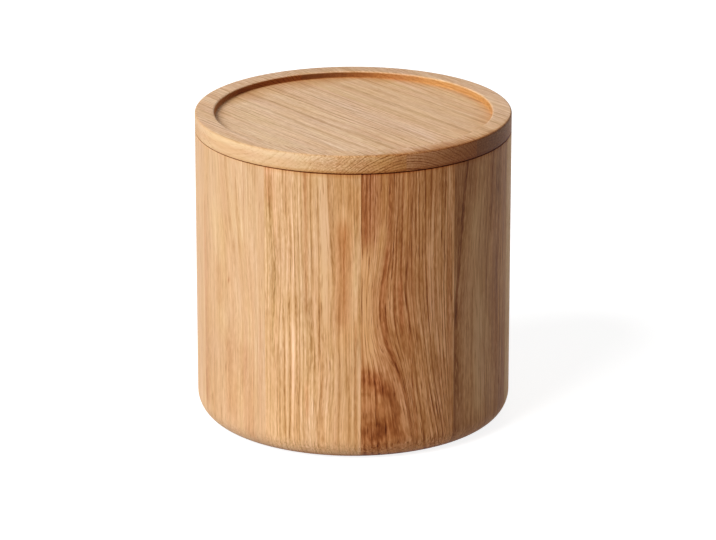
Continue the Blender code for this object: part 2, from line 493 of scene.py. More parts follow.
# Figure of each stave. The pith is (across, deep) from the middle of its face: far to one side for
# quarter-sawn boards with straight lines, and deep behind the face for flat-sawn ones with arches.
plain = dict(lean=(0, 0), wander=1.2, rings=0.5, pores=0.6, fibres=0.5, bands=0.4, end=(0.55, 0.42, 0.36, 1))
pale = dict(plain, light=rgb(238, 196, 152), shade=(0.62, 0.49, 0.38, 1), slot="oak_pale")
honey = dict(plain, light=rgb(247, 201, 155), shade=(0.51, 0.40, 0.25, 1), slot="oak_honey")
russet = dict(plain, light=rgb(218, 156, 105), shade=(0.52, 0.38, 0.23, 1), slot="oak_russet")
brown = dict(plain, light=rgb(192, 139, 95), shade=(0.51, 0.38, 0.27, 1), slot="oak_brown")

# Guides, marks and strokes are given by azimuth and by height in millimetres above the floor. A mark's
# widths are in degrees. A guide starts at the azimuth where its grain line would run if it were straight.
staveFigures = {
    "stave_01": dict(russet, seed=1, pith=(-80, -25), spacing=1.9, wander=0.6, rings=1.25, pores=1.1,
                     fibres=1.9, bands=0.25, rows=0.8, guides=[
        [(12.4, 131), (12.3, 112), (11, 94), (9.2, 82), (8.6, 70), (9.2, 62), (11.4, 53), (14.4, 45),
         (17.6, 33), (19.3, 23), (21.5, 10)],
        [(17.9, 131), (17.4, 105), (17.3, 80), (18.4, 66), (19.8, 54), (21, 35), (22.4, 20), (23.6, 9)],
        [(25.4, 131), (25.6, 98), (26.3, 74), (28, 54), (29.6, 38), (32, 20), (33.4, 9)],
        [(30.2, 131), (29.8, 85), (31, 58), (32.8, 35), (35.2, 15), (36, 8)],
    ], marks=[
        mark(-0.1, 3.2, (5.6, 131), (5.4, 124)),
        mark(-0.02, 3.4, (5.6, 131), (5, 106), red=0.5, gold=-0.6, ends=10),
        mark(-0.1, 0.5, (3.6, 118), (4.4, 104), red=0.4),
        mark(0.06, 1.4, (10.8, 131), (10.4, 110), (9.6, 100), red=-0.1, gold=0.6),
        mark(-0.22, 0.7, (13.2, 131), (13, 110), red=0.2), mark(-0.2, 0.4, (16.3, 131), (16.1, 108)),
        mark(0.12, 0.8, (19.4, 131), (19.4, 104), gold=0.5), mark(-0.24, 0.35, (22.2, 131), (22.3, 114)),
        mark(0.1, 0.8, (26.8, 131), (26.8, 112), gold=0.3), mark(-0.26, 0.35, (28.6, 131), (28.4, 104)),
        mark(0.14, 0.5, (29.4, 131), (29.1, 92)),
        *marks(0.12, 0.5, [(31.2, 126), (31, 92)], [(35.3, 131), (35.2, 104), (34.9, 84)]),
        mark(-0.26, 0.35, (34.9, 131), (34.5, 116), red=0.4), mark(-0.26, 0.5, (20.9, 118), (20.6, 96)),
        mark(0.14, 1.4, (20, 74), (20, 62)), mark(-0.22, 1, (23.4, 57), (23.8, 53), ends=4),
        mark(0.12, 2, (26, 42), (27, 28)), mark(-0.26, 0.36, (24.6, 98), (24.8, 74)),
        *marks(-0.28, 0.4, [(26.8, 88), (27, 66)], [(25.6, 104), (25.8, 96)]),
        mark(0.12, 0.6, (28.4, 100), (29.2, 60)), mark(-0.24, 0.4, (30, 84), (30.6, 62)),
        *marks(-0.24, 0.36, [(24.2, 40), (25.5, 28), (26.5, 14)], [(30.2, 131), (29.9, 88)],
               [(31.6, 44), (33.4, 28), (35, 14)]),
        mark(0, 5, (32, 131), (32, 7), quiet=-0.25),
        mark(0.04, 6, (20.5, 96), (20.5, 58), red=0.2, gold=0.15, ends=12),
        mark(0.06, 4, (9, 131), (9, 104)), mark(0.045, 5, (32, 84), (32, 20), ends=12),
        mark(-0.24, 0.5, (13, 131), (12.9, 112), (11.7, 94), (10, 82), (9.5, 70), (10.2, 62), (12.2, 53),
             (14.8, 45), (17.8, 33), (19.6, 23), (21.6, 10), right=2, red=0.35),
        mark(0.1, 1.6, (10.2, 104), (9.8, 98), (8.6, 88), red=-0.4, gold=0.3),
        mark(-0.14, 0.7, (12, 96), (10.8, 84), (10.4, 72), (11.2, 62), right=1.6, red=0.5, ends=6),
        mark(-0.22, 0.3, (14.6, 131), (14.4, 121)),
        mark(-0.4, 0.38, (17.9, 131), (17.3, 105), (17.2, 84), (17.6, 74), red=0.4),
        mark(-0.2, 0.9, (16.8, 104), (16.9, 88), ends=5),
        mark(-0.38, 0.36, (15.4, 102), (15.2, 92), (14.9, 74), (15.2, 62), red=0.3),
        mark(-0.32, 0.6, (11.2, 56), (12.4, 53), (13.9, 48), (15.4, 43), (16.4, 39), right=1.2, red=0.3,
             ends=4),
        mark(0.12, 1.6, (10.4, 62), (12, 56)), mark(0.12, 1, (13.3, 98), (12.6, 84), (12.8, 70)),
        mark(-0.18, 1, (16.6, 80), (17, 70), (17.6, 64), red=0.7),
        mark(0.35, 7, (5.4, 92), (5.4, 86), (4.9, 74), (5.4, 62), (6.4, 50), red=-0.3, gold=0.4, quiet=0.3,
             right=2.9, ends=14),
        mark(-0.18, 0.28, (7.3, 84), (7, 70)), mark(-0.16, 0.28, (5.6, 80), (5.7, 60)),
        *marks(-0.2, 0.3, [(8.3, 60), (8.5, 51)], [(20.8, 131), (20.6, 122)]),
        mark(-0.24, 0.34, (22.6, 112), (22.6, 84)), mark(-0.26, 0.34, (25.2, 131), (25.3, 119)),
        *marks(-0.22, 0.36, [(32.2, 124), (32, 114)], [(33.5, 120), (33.4, 84)],
               [(28.4, 52), (30.2, 34), (32.6, 16)]),
        mark(-0.26, 0.3, (31.4, 112), (31.5, 106)),
        mark(-0.16, 0.8, (36.4, 112), (36.2, 84), (36.6, 54), red=0.3),
        mark(0.13, 7, (30.5, 106), (30.5, 52), red=-0.15, ends=14), mark(-0.1, 5, (32, 131), (32, 124)),
        mark(0.08, 0.5, (38.2, 106), (38.2, 30), red=-0.4), mark(-0.13, 6, (23, 60), (25, 42)),
        mark(-0.2, 1.4, (17.6, 66), (18.4, 50), ends=6),
        mark(-0.38, 0.38, (20.2, 64), (20.5, 52), (21.4, 40), (22.5, 24), (23.6, 9), red=0.3),
        mark(-0.34, 0.36, (26.2, 50), (27.2, 38), (28.8, 20), (29.8, 10)),
        mark(-0.2, 0.36, (34.9, 44), (35.6, 34), (36.6, 22)),
    ], strokes=[  # the edge of a knot
        stroke(-0.09, 5.5, (6, 38), (9, 36), (12, 30), (13, 22), (12, 12), (7, 8), red=0.3),
        stroke(-0.2, 1.5, (3, 42.4), (6, 42), (8.5, 40.5), red=0.3),
        stroke(-0.1, 3, (3.6, 38.5), (7, 37), (10, 33.5), red=0.5, quiet=-0.3),
        stroke(-0.3, 2, (7.6, 39), (9.6, 37), (11.6, 34.4), (13.2, 31.5), red=0.3, quiet=0.3),
        stroke(-0.4, 1.5, (9.4, 33), (11.6, 31.6), (13.4, 29), (14.8, 25.5), (15.6, 21.5), (15.7, 18),
             red=0.2, quiet=0.3),
        stroke(-0.22, 0.8, (14.6, 31), (15.8, 27), (16.4, 22)), stroke(-0.26, 0.8, (2.8, 32), (5.4, 31.6)),
        stroke(0.12, 3.2, (5, 26), (10, 24.6), red=0.2, quiet=0.4),
        stroke(-0.46, 2.8, (3.6, 14), (8.8, 14), (10.6, 13.4), red=0.3, gold=-0.5, quiet=0.3),
        stroke(-0.34, 3.2, (6.6, 21.5), (8.4, 19), (8, 8), gold=-0.3),
        stroke(-0.16, 2.4, (8.4, 26.5), (12.4, 26), (12.8, 22)), stroke(-0.2, 1.6, (12.6, 8.5), (14, 7.5)),
        stroke(0.16, 1.3, (15.2, 40), (17, 34.5), (18.2, 27)),
        stroke(-0.28, 1, (5, 18), (7.4, 18.2), (10.4, 16.4), red=0.2),
        stroke(-0.3, 2.8, (13, 18), (15.4, 13), (18.4, 11), red=0.3),
        stroke(0.1, 1.5, (3.2, 41), (6.4, 40.6)), stroke(-0.24, 0.45, (5.3, 46), (5.2, 35)),
        stroke(-0.16, 0.45, (7.4, 44), (7.5, 36)), stroke(-0.18, 0.45, (9.2, 43), (9.4, 34)),
        stroke(-0.22, 0.45, (10.3, 42), (10.6, 33)), stroke(-0.22, 0.45, (12.2, 38), (12.6, 31)),
        stroke(-0.2, 0.45, (8.2, 31), (8.3, 27)), stroke(0.24, 0.5, (4.3, 12.5), (7, 6)),
        stroke(0.22, 0.5, (6.4, 12), (8.9, 6)), stroke(0.2, 0.5, (8.6, 12), (10.9, 6)),
        stroke(0.2, 0.5, (11.2, 12.5), (13.4, 7)), stroke(-0.24, 0.5, (5.2, 12), (7.9, 6), red=0.3),
        stroke(-0.24, 0.5, (7.4, 12), (9.9, 6), red=0.3), stroke(-0.24, 0.5, (9.8, 12), (12.2, 6), red=0.3),
    ]),
    "stave_02": dict(brown, seed=2, pith=(-60, -60), lean=(0.02, 0), spacing=3.2, rings=0.55, fibres=1.65,
                     bands=0.9, guides=[
        [(45, 131), (44, 122), (42.6, 105), (41.2, 84), (40, 70), (39.6, 62), (39.6, 10)],
        [(52.5, 131), (51.5, 105), (50, 84), (50.5, 56), (51.5, 10)],
    ], marks=[
        mark(-0.05, 14, (56, 131), (56, 100), gold=0.1, ends=10),
        mark(-0.26, 0.7, (39.5, 68), (39.6, 40), (39.6, 12), right=0.9),
        mark(-0.05, 9, (63, 42), (63, 8), ends=10), mark(0.05, 7, (48, 92), (48, 58), ends=14),
        mark(0, 7, (48, 40), (48, 8), red=0.1, gold=0.15, ends=10),
        mark(-0.6, 0.8, (45, 131), (44, 122), (42.6, 105), (41.2, 84), (40, 70), (39.6, 62), right=0.45),
        mark(-0.3, 2.4, (41.4, 131), (41, 112), (40.2, 84)),
        mark(-0.34, 1.6, (39.9, 64), (40, 35), (39.8, 7), right=2.2),
        mark(0.2, 1.8, (52.8, 124), (51, 104), (50, 84), (50.5, 62), (51.5, 20), red=-0.2),
        mark(0.2, 6, (51, 104), (52, 84), (53, 60), (54, 20), red=-0.3, ends=16),
        mark(-0.36, 4, (63.4, 131), (63.4, 104), ends=18), mark(-0.16, 2, (54.2, 127), (54.2, 122)),
        mark(-0.2, 2, (42.2, 111), (42, 92)), mark(-0.16, 5, (69, 44), (69, 7)),
        mark(-0.22, 2.4, (47, 131), (46.4, 122)), mark(-0.16, 1.8, (42.6, 84), (42, 64)),
        mark(-0.2, 3.2, (63.5, 84), (63, 60), (63.5, 34)), mark(-0.2, 2, (65, 122), (65.4, 108), red=-0.6),
        mark(-0.2, 0.5, (56.4, 118), (56, 104)), mark(-0.16, 0.5, (49.4, 124), (49, 116), red=0.5),
        mark(0, 9, (72, 104), (72, 7), gold=0.6),
    ]),
    "stave_03": dict(honey, seed=3, pith=(-95, -40), lean=(0.015, 0), spacing=2.3, rings=0.45, fibres=0.8,
                     marks=[
        # painted shade on the limb at the shaded right, then lines of the wood
        mark(-0.38, 9, (75, 131), (75, 7), red=-0.4), mark(-0.24, 0.6, (92, 128), (93, 80), (92.6, 30)),
        mark(-0.2, 0.5, (99, 120), (98, 60)), mark(0.1, 1.6, (88, 110), (88.6, 40)),
    ]),
    "stave_04": dict(pale, seed=4, pith=(4, -34), lean=(0, 0.1), spacing=1.8, wander=1.6, pores=0.5,
                     fibres=0.45, bands=0.35),
    "stave_05": dict(honey, seed=5, pith=(110, -30), spacing=2, wander=1, fibres=0.6),
    "stave_06": dict(russet, seed=6, pith=(-6, -34), lean=(0.01, 0.06), spacing=2),
    "stave_07": dict(pale, seed=7, pith=(-70, -60), lean=(0, 0.05), spacing=2.6, wander=1.4, rings=0.35,
                     pores=0.5, fibres=0.45),
    "stave_08": dict(pale, seed=8, pith=(90, -10), spacing=2.4, wander=1, rings=0.25, pores=0.4,
                     fibres=0.4),
    "stave_09": dict(pale, seed=9, pith=(60, -60), spacing=2.8, wander=1.4, rings=0.28, pores=0.4,
                     fibres=0.8, bands=0.2, guides=[
        [(-58, 131), (-56.6, 112), (-54.6, 94), (-54, 70), (-53.6, 10)],
        [(-52.6, 131), (-50.4, 112), (-47.4, 90), (-45.6, 70), (-45.4, 10)],
        [(-44.4, 131), (-43.4, 100), (-41, 70), (-41, 10)],
    ], marks=[
        mark(0, 8, (-63, 131), (-63, 7), red=-0.1, quiet=0.25),
        mark(0, 6, (-44, 131), (-44, 7), quiet=-0.3), mark(0.03, 7, (-44, 131), (-44, 100), red=-0.15),
        mark(-0.03, 9, (-59, 96), (-59, 54), gold=0.25, ends=14),
        mark(-0.3, 0.5, (-52.6, 130), (-51.4, 118), (-50, 104)),
        mark(-0.26, 0.45, (-46.8, 118), (-46.2, 110)), mark(-0.22, 0.4, (-39.2, 114), (-39, 104)),
        mark(-0.2, 0.4, (-45.2, 102), (-45, 92)), mark(-0.26, 0.4, (-48, 92), (-47.4, 82)),
        mark(-0.22, 0.6, (-44.6, 42), (-44, 30)), mark(-0.16, 3, (-68, 56), (-67.6, 20), red=0.5, ends=14),
        mark(-0.2, 0.8, (-69, 24), (-68.6, 12), red=0.2),
        mark(-0.1, 2.4, (-57.4, 78), (-56.8, 66), red=0.3),
        mark(-0.36, 0.5, (-63.2, 18), (-62.8, 15), ends=2),
        mark(-0.45, 0.4, (-51, 75.6), (-50.8, 75), red=1, ends=1.2),
        mark(-0.1, 3, (-70, 100), (-68, 70), red=0.5, ends=16),
        mark(-0.1, 4, (-52, 44), (-51, 20), red=0.3, ends=14), mark(0.1, 1.6, (-60.4, 106), (-60, 92)),
        mark(-0.12, 5, (-65, 40), (-63, 8), ends=20), mark(-0.1, 2.6, (-42, 44), (-41, 10), red=0.3),
    ]),
    "stave_10": dict(honey, seed=10, pith=(-90, -12), spacing=1.8, wander=0.5, fibres=1, bands=0.25,
                     guides=[
        [(-29.8, 131), (-29.5, 116), (-28.9, 104), (-28.5, 90), (-28.8, 76), (-29.6, 60), (-30, 48),
         (-29.8, 10)],
        [(-17.4, 131), (-17, 105), (-16.9, 70), (-16.4, 52), (-16.5, 36), (-16.7, 26), (-16.4, 10)],
        [(-8.9, 131), (-8.3, 113), (-7.4, 94), (-7.9, 60), (-7.2, 38), (-8.4, 20), (-8.6, 10)],
    ], marks=[
        mark(0, 4, (-3, 106), (-3, 60), red=0.2, gold=0.35, ends=14),
        mark(0.03, 5, (-25.5, 84), (-25.5, 10), red=-0.1, ends=12),
        mark(-0.34, 2.4, (-30.4, 125), (-30.2, 112), (-29.5, 98), (-29, 84), (-29.2, 76), right=0.3,
             red=-0.3, ends=6),
        mark(0.12, 5, (-27, 131), (-27, 129.5), ends=3), mark(-0.22, 0.5, (-7, 120), (-7, 103)),
        mark(0.14, 1.6, (-4, 116), (-4, 107), ends=5), mark(-0.2, 0.8, (1, 113), (1, 104), ends=5),
        mark(0.04, 1.6, (-31.6, 131), (-31.4, 120), red=0.8),
        mark(-0.4, 0.5, (-28.9, 97), (-28.7, 80), (-29.4, 70), (-30, 56), (-29.8, 49), red=-0.4),
        mark(-0.14, 0.9, (-26.4, 131), (-26.2, 104)),
        mark(0.2, 0.5, (-22.4, 114), (-21.6, 100), (-21.4, 88)),
        *marks(-0.26, 0.3, [(-21, 131), (-21, 104), (-20.8, 70)], [(-24.6, 131), (-24.3, 100)],
               [(-22.6, 104), (-22.9, 84)]),
        mark(-0.22, 0.28, (-18.9, 131), (-18.6, 104), (-18.3, 92)),
        mark(-0.26, 0.65, (-17.3, 131), (-17, 105), (-16.9, 72), red=0.5),
        mark(-0.22, 0.45, (-15.1, 128), (-14.8, 105), (-14.5, 84)),
        mark(-0.3, 0.3, (-12.6, 122), (-12.2, 98), (-12.2, 52), red=0.3),
        mark(0.08, 1.3, (-10.4, 131), (-10.2, 98), (-9.8, 66), quiet=0.7),
        mark(0.1, 1.2, (-14, 108), (-13.8, 80)),
        mark(-0.4, 0.35, (-9, 131), (-8.4, 113), (-7.7, 98), (-7.3, 88), right=0.7, red=0.3),
        mark(-0.17, 6.5, (-2.5, 131), (-2.5, 119), red=0.2, gold=0.2),
        mark(0.05, 2.4, (-3.2, 131), (-3.2, 112), red=-0.2),
        mark(0.05, 6.5, (-3, 131), (-3, 7), red=0.3, gold=0.3, quiet=0.1),
        mark(0.04, 2.2, (2.2, 122), (2.2, 60), red=0.25, gold=0.4),
        mark(0, 4, (-24.6, 131), (-24.6, 66), quiet=-0.25), mark(0, 4, (-13, 60), (-13, 7), quiet=-0.2),
        *marks(-0.26, 0.28, [(-4.3, 131), (-4.3, 112)], [(-1.2, 131), (-1.3, 118)]),
        mark(-0.17, 2.4, (-4, 106), (-3.8, 92), (-4.2, 68), red=0.5, ends=10),
        mark(-0.34, 0.3, (-2.9, 106), (-3.3, 94), (-3.2, 76), red=0.4),
        mark(-0.3, 0.28, (-6.9, 95), (-7, 76)), mark(-0.24, 0.5, (1.4, 126), (1.6, 108), red=0.2),
        mark(0.14, 0.4, (2.2, 131), (2, 110), red=0.2), mark(-0.14, 0.5, (2.3, 104), (2.4, 52)),
        mark(0.1, 0.9, (0.8, 106), (0.8, 82), red=-0.5),
        *marks(-0.28, 0.28, [(0.7, 102), (0.9, 84)], [(-8, 70), (-7.9, 53)], [(-8.4, 34), (-8.3, 18)]),
        *marks(-0.3, 0.3, [(2.1, 81), (2, 68)], [(-15, 72), (-14.9, 48)]),
        mark(-0.34, 0.5, (-26, 72), (-25.4, 56), (-25.2, 14), red=0.1),
        mark(-0.56, 0.46, (-23.4, 72), (-23.1, 50), (-23.1, 28), (-23.2, 12)),
        mark(-0.46, 0.46, (-20.7, 72), (-20.4, 50), (-20.5, 12)),
        *marks(-0.34, 0.28, [(-18.1, 70), (-18.1, 32)], [(-5.1, 70), (-5.1, 10)]),
        mark(-0.26, 1.1, (-16.2, 70), (-16, 50), (-16.4, 40)),
        mark(-0.12, 0.7, (-16.8, 32), (-16.7, 24), red=0.8),
        mark(-0.36, 0.28, (-13.7, 48), (-13.6, 26), (-12.7, 14), (-12.6, 8)),
        mark(-0.32, 0.55, (-11.3, 70), (-10.8, 56), (-10.7, 44), (-11.3, 28), (-11.1, 12), red=0.2),
        mark(-0.34, 0.22, (-28.2, 47), (-28.3, 12)), mark(-0.32, 0.35, (-27.2, 46), (-26.9, 30), (-27, 10)),
        mark(-0.3, 0.26, (-12.2, 70), (-12.3, 44)), mark(-0.24, 0.3, (-27.6, 100), (-27.4, 76)),
        mark(-0.24, 0.36, (-7.2, 48), (-7.2, 35)), mark(-0.3, 0.35, (-2.6, 56), (-2.6, 36)),
        mark(-0.3, 0.4, (-1.7, 38), (-1.5, 28), (-1.2, 14)),
        mark(-0.32, 0.55, (0.8, 60), (0.8, 36), (0.9, 10), red=0.5),
        mark(0.08, 0.35, (2.3, 44), (2.3, 8), red=0.3),
        mark(-0.06, 4, (-3.6, 131), (-3, 104), right=6, red=0.2, ends=20),
        mark(-0.1, 1, (-18, 26), (-17.6, 8)), mark(0.06, 3.4, (-24, 86), (-22, 54)),
        mark(0.11, 4.2, (-22, 60), (-22, 22)),
    ]),
}


def staveOutline(rowStep):
    outer, inner = wall["outer"], wall["outer"] - wall["thickness"]
    ease, top, size = wall["ease"], wall["top"], wall["footRound"]
    rebate = inner + wall["rebate"]
    center = outer - size
    start = -math.degrees(math.acos((rebate - center) / size))
    points = arc(center, size, size, start, 0, 14)
    points += spread(points[-1], (outer, top - ease), rowStep)
    points += arc(outer - ease, top - ease, ease, 0, 90, 4)
    points += spread(points[-1], (inner + ease, top), 2 * mm)
    points += arc(inner + ease, top - ease, ease, 90, 180, 4)
    points += spread(points[-1], (inner, wall["shoulder"]), 8 * mm)
    points += [(inner, wall["shoulder"]), (rebate, wall["shoulder"])]
    return points


def seamDepth(azimuth):
    # painted shade in the seam: pale and thin at the lit left of the front, and dark from there round to the
    # shaded right
    return wall["seamShade"] * (0.04 + 0.96 * smoothStep(azimuth, -62, 6))


def makeStave(name, index, figure):
    pitch = 360 / wall["staveCount"]
    start = wall["firstJoint"] + index * pitch
    middle = math.radians(start + pitch / 2)
    hairline = wall["hairline"]
    outline = staveOutline(figure.get("rows", 1.8) * mm)
    data = turnedGrid(name, outline, start + hairline, pitch - 2 * hairline, wall["columns"])
    finishMesh(data)
    points = corners(data)
    radius, azimuth, height = turnedPlace(points)
    height = height / mm
    across = (points[:, 0] * math.cos(middle) + points[:, 1] * math.sin(middle)) / mm
    deep = (points[:, 0] * math.sin(middle) - points[:, 1] * math.cos(middle) - wall["outer"]) / mm
    # the azimuths of a stave run on past 180 without a break
    home = (math.degrees(middle) + 180) % 360 - 180
    azimuth = (azimuth - home + 180) % 360 - 180 + home
    straight = bendFigure(azimuth, height, figure.get("guides", []), home - pitch / 2, home + pitch / 2)
    shift = np.radians(straight - azimuth) * wall["outer"] / mm
    paint = paintMarks(azimuth, height, figure.get("marks", []))
    paint += paintStrokes(azimuth, height, figure.get("strokes", []))
    # painted shade in the seam under the lid and at the foot, deeper towards the shaded right
    paintedShade = seamDepth(azimuth) * smoothStep(height, wall["top"] / mm - 0.35, wall["top"] / mm)
    paintedShade *= smoothStep(radius, wall["outer"] - 1.5 * mm, wall["outer"] - 0.3 * mm)
    footShade = np.interp(azimuth, (-10, 28), wall["footShade"])
    paintedShade += footShade * (1 - smoothStep(height, 0.5, 3.0))
    storePaint(data, np.stack([across, deep, height], 1), shift, paintedShade, *paint)
    material = makeOak(name + "_oak", figure, (0, 0, 1))
    addPiece("oak_" + name, data, material, "canister", figure["slot"], name)


# Boards of the base and the lid, sawn from one turned piece each
def makeBoards(prefix, outline, disc, body, slot):
    turn = math.radians(disc["heading"])
    acrossWay = Vector((math.cos(turn), math.sin(turn), 0))
    alongWay = Vector((math.sin(turn), -math.cos(turn), 0))
    size = outline[0][0] + 10 * mm
    lengths = int(size / boardLength)
    leftJoint, rightJoint = disc["joints"]
    sides = (("left", None, leftJoint), ("middle", leftJoint, rightJoint), ("right", rightJoint, None))
    for side, low, high in sides:
        name = f"{prefix}_{side}"
        data = turnedGrid(name, outline, 0, 360, disc["columns"], discs=True)
        mesh = bmesh.new()
        mesh.from_mesh(data)
        for limit, way in ((low, -1), (high, 1)):
            if limit is not None:
                cutMesh(mesh, acrossWay * limit, acrossWay * way, clear_outer=True)
                edges = [edge for edge in mesh.edges if edge.is_boundary]
                bmesh.ops.holes_fill(mesh, edges=edges, sides=0)
        first, last = low or -size, high or size
        for step in range(math.ceil(first / boardStrip), math.ceil(last / boardStrip)):
            cutMesh(mesh, acrossWay * step * boardStrip, acrossWay)
        for step in range(-lengths, lengths + 1):
            cutMesh(mesh, alongWay * step * boardLength, alongWay)
        mesh.to_mesh(data)
        mesh.free()
        finishMesh(data)
        points = corners(data)
        board = np.stack([points @ np.array(acrossWay), points[:, 2], points @ np.array(alongWay)], 1) / mm
        figure = disc["figures"][side]
        paint, paintedShade = np.zeros((len(painted), len(points))), np.zeros(len(points))
        if "edge" in figure:
            paint, paintedShade = shadeLid(points, figure["edge"])
        storePaint(data, board, np.zeros(len(points)), paintedShade, *paint)
        addPiece("oak_" + name, data, makeOak(name + "_oak", figure, alongWay), body, slot, name)


def cutMesh(mesh, place, way, **settings):
    everything = mesh.verts[:] + mesh.edges[:] + mesh.faces[:]
    bmesh.ops.bisect_plane(mesh, geom=everything, dist=1e-7, plane_co=place, plane_no=way, **settings)


# the flat faces are cut into strips, whose corners carry the tones and the painted shade
boardStrip = 1.0 * mm
boardLength = 15.0 * mm

base = {
    "radius": 62.4 * mm,
    "thickness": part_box("base_board_middle")[1].z,
    "heading": -24.0,           # of the grain, in degrees
    "joints": (-17.3 * mm, 23.3 * mm),
    "columns": 180,
    "figures": {
        "left": dict(pale, seed=21, pith=(0, 60), lean=(0, 0.1), spacing=1.8, wander=1.4, rings=0.4),
        "middle": dict(honey, seed=22, pith=(-80, -20), spacing=2, wander=1, rings=0.45),
        "right": dict(pale, seed=23, pith=(90, 30), spacing=1.7, rings=0.4),
    },
}


def baseOutline():
    size = wall["footRound"]
    center = wall["outer"] - size
    end = math.degrees(math.acos((base["radius"] - center) / size))
    edge = arc(center, size, size, -90, -end, 4)
    return edge + [(base["radius"], base["thickness"])]


lidLow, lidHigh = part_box("lid_board_middle")
lidWood = dict(plain, light=rgb(244, 205, 168), shade=(0.57, 0.44, 0.31, 1), wander=1.3, pores=0.3,
               fibres=1.1, bands=0.3)
lid = {
    "top": lidHigh.z,
    "bottom": lidLow.z,
    "seat": wall["top"] + 0.3 * mm,
    "rim": 8.6 * mm,
    "recess": 3.0 * mm,
    "ease": 0.8 * mm,           # of the rim
    "seamEase": 0.25 * mm,      # of its lower edge
    "fillet": 0.5 * mm,
    "spigot": 60.0 * mm,
    "chamfer": 0.8 * mm,
    "grooveLow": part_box("seal_ring")[0].z - 0.3 * mm,
    "grooveHigh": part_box("seal_ring")[1].z + 0.3 * mm,
    "grooveDepth": 2.0 * mm,
    # painted shade on the wall of the recess
    "recessShade": 1.1,
    "recessGold": 1.0,          # painted light, golden on its lit right
    "roundShade": 0.6,          # painted shade on the rounding of the rim at its front right
    "cornerShade": 0.34,        # painted shade on the floor of the recess, along its wall
    # painted shade and sheen by azimuth: on the rim, darker at the back and front, and on its outer
    # rounding, which dims the highlight at the lit left and darkens the front right
    "rimTone": ((-180, -0.25), (-130, -0.12), (-80, -0.02), (-40, -0.04), (-10, -0.11), (30, -0.11),
                (60, -0.04), (90, -0.02), (140, -0.16), (180, -0.25)),
    "roundTone": ((-180, 0), (-90, -0.15), (-60, -0.3), (-20, -0.3), (5, -0.4), (20, -0.6),
                  (80, -0.6), (110, 0), (180, 0)),
    "heading": 37.0,
    "joints": (-21.7 * mm, 15.3 * mm),
    "columns": 240,
    "figures": {
        # an edge gives azimuth, tone, red, gold and quiet
        "left": dict(lidWood, light=rgb(250, 214, 177), seed=31, pith=(-20, 112), spacing=1.1,
                     end=(0.61, 0.42, 0.25, 1), edge=[
            (-90, -0.3, 0, 0.4, 0.7), (-70, 0.05, 0, 0.4, 0.7), (-22, 0.04, 0, 0.4, 0.7),
            (-13, -0.04, 0.1, 0.5, 0), (-3, 0.08, 0.3, 0.7, -0.7), (10, 0.28, 0.1, 0.8, -0.9),
            (19, 0.07, 0.3, 0.5, -0.7)]),
        "middle": dict(lidWood, seed=32, pith=(-22, 104), spacing=1.3, rings=0.75, pores=0.4,
                       end=(0.56, 0.36, 0.24, 1), edge=[
            (19, 0.26, -0.5, 0.2, -0.5), (25, 0.1, -0.3, 0.1, -0.3), (30, 0.01, -0.3, -0.1, 0),
            (36, -0.2, -0.1, 0, 0.1), (42, -0.4, 0, 0.1, 0.2), (50, -0.75, -0.2, 0.2, 0.2)]),
        # its edge darkens round to the shaded right: darker wood by the end grain, and painted shade beyond
        # it
        "right": dict(lidWood, light=rgb(241, 202, 161), seed=33, pith=(20, 80), spacing=1.6, rings=0.3,
                      fibres=0.95, end=(0.41, 0.31, 0.29, 1), edge=[
            (-150, 0, 0, 0, 0), (49, -0.5, 0.7, 1, 0), (57, -0.72, 0.2, 0.7, 0.1),
            (62, -0.95, 0, 0.6, 0.1), (66, -1.15, 0, 0.5, 0.2), (70, -1.3, 0, 0.4, 0.3),
            (90, -1.3, 0, 0.3, 0.3), (115, -0.5, 0, 0, 0.2), (150, 0, 0, 0, 0)]),
    },
}


def lidOutline():
    outer, inner, spigot = wall["outer"], wall["outer"] - lid["rim"], lid["spigot"]
    top, seat, bottom, ease, fillet = lid["top"], lid["seat"], lid["bottom"], lid["ease"], lid["fillet"]
    floor = top - lid["recess"]
    groove = spigot - lid["grooveDepth"]
    points = [(spigot - lid["chamfer"], bottom), (spigot, bottom + lid["chamfer"])]
    points += [(spigot, lid["grooveLow"]), (groove, lid["grooveLow"])]
    points += [(groove, lid["grooveHigh"]), (spigot, lid["grooveHigh"]), (spigot, seat)]
    lower = lid["seamEase"]
    points += arc(outer - lower, seat + lower, lower, -90, 0, 4)
    points += spread(points[-1], (outer, top - ease), 1.5 * mm)
    points += arc(outer - ease, top - ease, ease, 0, 90, 4)
    points += arc(inner + ease, top - ease, ease, 90, 180, 4)
    points += arc(inner - fillet, floor + fillet, fillet, 0, -90, 4)
    return points


